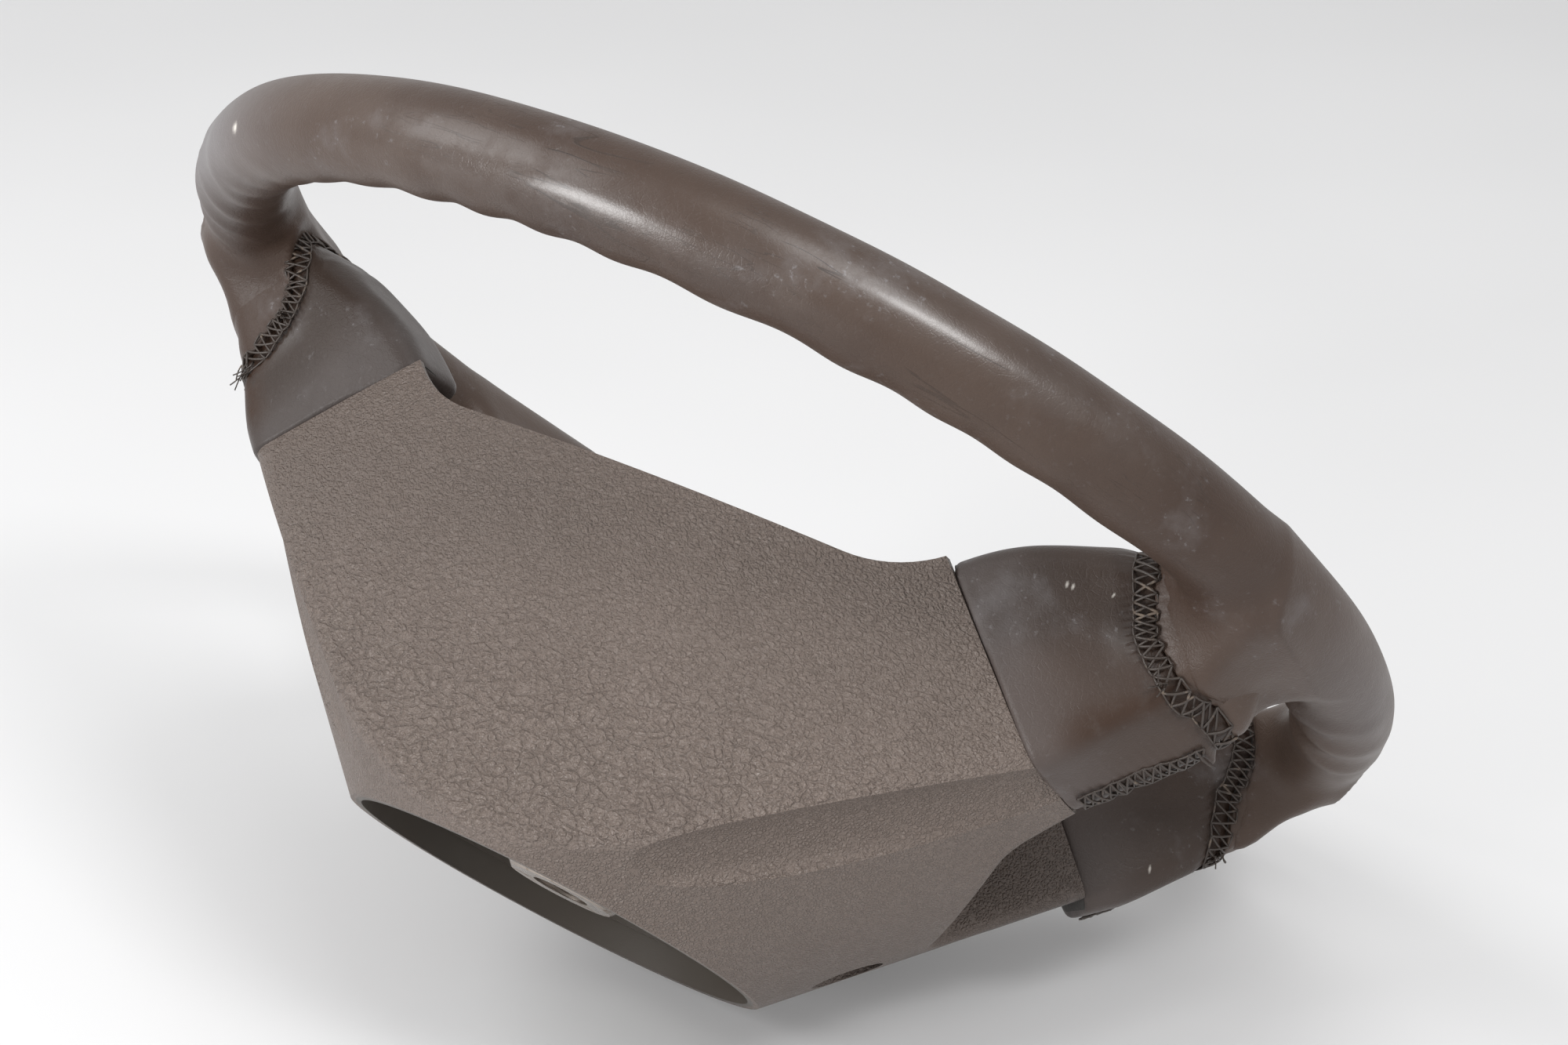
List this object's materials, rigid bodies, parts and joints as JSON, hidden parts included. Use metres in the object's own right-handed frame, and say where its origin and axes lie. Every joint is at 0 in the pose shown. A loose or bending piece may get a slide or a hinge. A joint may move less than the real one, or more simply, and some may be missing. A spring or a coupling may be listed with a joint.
{
  "type": "car steering wheel",
  "caption": "Leather-covered car steering wheel with padded spokes, a deep moulded rear shroud, a steel hub boss and a sprung horn pad that presses in towards the column.",
  "frame": {"origin": "on the steering column's axis, at the column end of the hub boss", "axes": "+Y along the column, away from the driver; +Z towards twelve o'clock with the wheel straight; +X to the driver's right"},
  "size_m": [0.3996, 0.1648, 0.3996],
  "materials": {
    "bare_steel": "rolled, thin zinc",
    "cast_alloy": "as cast",
    "turned_steel": "turned, lightly stained",
    "foam": "self-skinned foam",
    "rim_leather": "aged, satin, cracked",
    "boot_leather": "aged, satin",
    "shroud_plastic": "leather-grained moulding",
    "plated_steel": "zinc plated",
    "bush_plastic": "natural",
    "contact_brass": "turned",
    "cushion_cloth": "plain woven, folded"
  },
  "bodies": {
    "wheel": {"rim_core": "bare_steel", "hub_spider": "cast_alloy", "hub_boss": "turned_steel", "rim_foam": "foam", "rim_leather": "rim_leather", "spoke_boot_upper_left": "boot_leather", "spoke_boot_upper_right": "boot_leather", "spoke_boot_lower_left": "boot_leather", "spoke_boot_lower_right": "boot_leather", "rear_shroud": "shroud_plastic", "shroud_screws": "plated_steel", "guide_bolts": "plated_steel", "horn_springs": "bare_steel", "fixed_contacts": "contact_brass"},
    "horn_pad": {"horn_plate": "bare_steel", "guide_bushes": "bush_plastic", "moving_contacts": "contact_brass", "module_can": "bare_steel", "inflator": "turned_steel", "cushion_retainer": "bare_steel", "retainer_nuts": "plated_steel", "folded_cushion": "cushion_cloth", "pad_cover": "shroud_plastic", "pad_rivets": "plated_steel", "module_screws": "plated_steel"}
  },
  "joints": [
    {"name": "horn_press", "type": "slide", "parent": "wheel", "child": "horn_pad", "axis": [0, 1, 0], "range_m": [0, 0.0025], "stiffness_N_per_m": 12000, "springref_m": -0.0015, "deforming": ["horn_springs"]}
  ]
}
